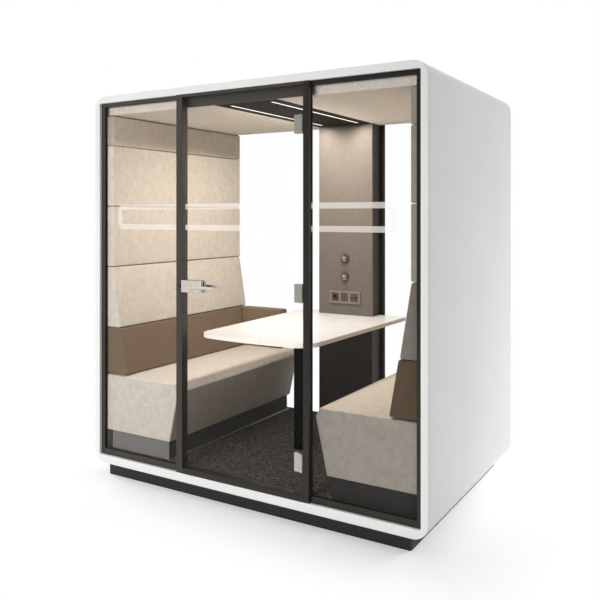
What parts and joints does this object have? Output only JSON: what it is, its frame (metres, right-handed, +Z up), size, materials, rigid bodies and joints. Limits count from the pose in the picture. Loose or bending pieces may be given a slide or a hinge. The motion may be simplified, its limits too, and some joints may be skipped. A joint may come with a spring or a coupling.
{
  "type": "acoustic office pod",
  "caption": "Free-standing acoustic meeting pod: rounded white shell on a plinth, glazed front and back, hinged glass door, facing upholstered benches, table and service column.",
  "frame": {"origin": "centre of the plinth's underside, on the floor, half way between the shell's front and back rims", "axes": "+Z up, +X to the right as seen from the front, -Y out of the door side"},
  "size_m": [2.2, 1.494, 2.34],
  "materials": {
    "shell_white": "satin white lacquer on board",
    "frame_bronze": "dark bronze anodised",
    "clear_glass": "clear laminated glass",
    "satin_metal": "satin",
    "dark_board": "matt anthracite laminate",
    "taupe_lacquer": "satin taupe lacquer on board",
    "taupe_plastic": "satin taupe",
    "carpet_pile": "loop pile",
    "beige_fabric": "melange felted wool",
    "brown_fabric": "melange felted wool",
    "light_diffuser": "opal",
    "table_white": "white laminate on board",
    "black_steel": "matt black powder coat",
    "fan_plastic": "moulded"
  },
  "bodies": {
    "pod": {"outer_shell": "shell_white", "front_frame_left": "frame_bronze", "front_frame_right": "frame_bronze", "rear_frame_left": "frame_bronze", "rear_frame_right": "frame_bronze", "door_jamb_latch": "frame_bronze", "door_jamb_hinge": "frame_bronze", "door_head": "frame_bronze", "door_threshold": "frame_bronze", "front_glass_left": "clear_glass", "front_glass_right": "clear_glass", "rear_glass_left": "clear_glass", "rear_glass_right": "clear_glass", "hinge_bracket_top": "satin_metal", "hinge_bracket_middle": "satin_metal", "hinge_bracket_bottom": "satin_metal", "base_plinth": "dark_board", "floor_deck": "dark_board", "column_body": "dark_board", "column_lower_panel": "dark_board", "ceiling_tray": "dark_board", "bench_plinth_left": "dark_board", "bench_plinth_right": "dark_board", "column_front_panel": "taupe_lacquer", "socket_frame": "taupe_plastic", "socket_inserts": "taupe_plastic", "carpet": "carpet_pile", "ceiling_pad_left": "beige_fabric", "wall_pad_top_left": "beige_fabric", "wall_pad_upper_left": "beige_fabric", "wall_pad_lower_left": "beige_fabric", "back_pad_left": "beige_fabric", "seat_left": "beige_fabric", "ceiling_pad_right": "beige_fabric", "wall_pad_top_right": "beige_fabric", "wall_pad_upper_right": "beige_fabric", "wall_pad_lower_right": "beige_fabric", "back_pad_right": "beige_fabric", "seat_right": "beige_fabric", "lumbar_pad_left": "brown_fabric", "end_pad_left": "brown_fabric", "lumbar_pad_right": "brown_fabric", "end_pad_right": "brown_fabric", "light_line_left": "light_diffuser", "light_line_right": "light_diffuser", "table_top": "table_white", "table_leg": "black_steel", "table_bracket": "black_steel", "fan_housing": "fan_plastic"},
    "door": {"door_glass": "clear_glass", "hinge_leaf_top": "satin_metal", "hinge_leaf_middle": "satin_metal", "hinge_leaf_bottom": "satin_metal", "lock_case": "satin_metal"},
    "lever": {"door_lever": "satin_metal"},
    "latch": {"latch_bolt": "satin_metal"},
    "fan": {"fan_rotor": "fan_plastic"},
    "light_dial": {"light_knob": "taupe_plastic"},
    "fan_dial": {"fan_knob": "taupe_plastic"}
  },
  "joints": [
    {"name": "door_swing", "type": "hinge", "parent": "pod", "child": "door", "pos_m": [0.407, -0.724, 1.198], "axis": [0, 0, 1], "range_deg": [0, 100]},
    {"name": "lever_turn", "type": "hinge", "parent": "door", "child": "lever", "pos_m": [-0.265, -0.711, 1.198], "axis": [0, 1, 0], "range_deg": [0, 45], "stiffness_Nm_per_rad": 2, "springref_deg": -22.92},
    {"name": "latch_slide", "type": "slide", "parent": "door", "child": "latch", "axis": [1, 0, 0], "range_m": [0, 0.012]},
    {"name": "fan_spin", "type": "hinge", "parent": "pod", "child": "fan", "pos_m": [0, 0.62515, 2.05], "axis": [0, 0, 1], "continuous": true},
    {"name": "light_knob_turn", "type": "hinge", "parent": "pod", "child": "light_dial", "pos_m": [0, 0.544, 1.303], "axis": [0, 1, 0], "range_deg": [0, 270]},
    {"name": "fan_knob_turn", "type": "hinge", "parent": "pod", "child": "fan_dial", "pos_m": [0, 0.544, 1.175], "axis": [0, 1, 0], "range_deg": [0, 270]}
  ],
  "couplings": [
    {"joint": "latch_slide", "follows": "lever_turn", "m_per_rad": 0.01527}
  ]
}
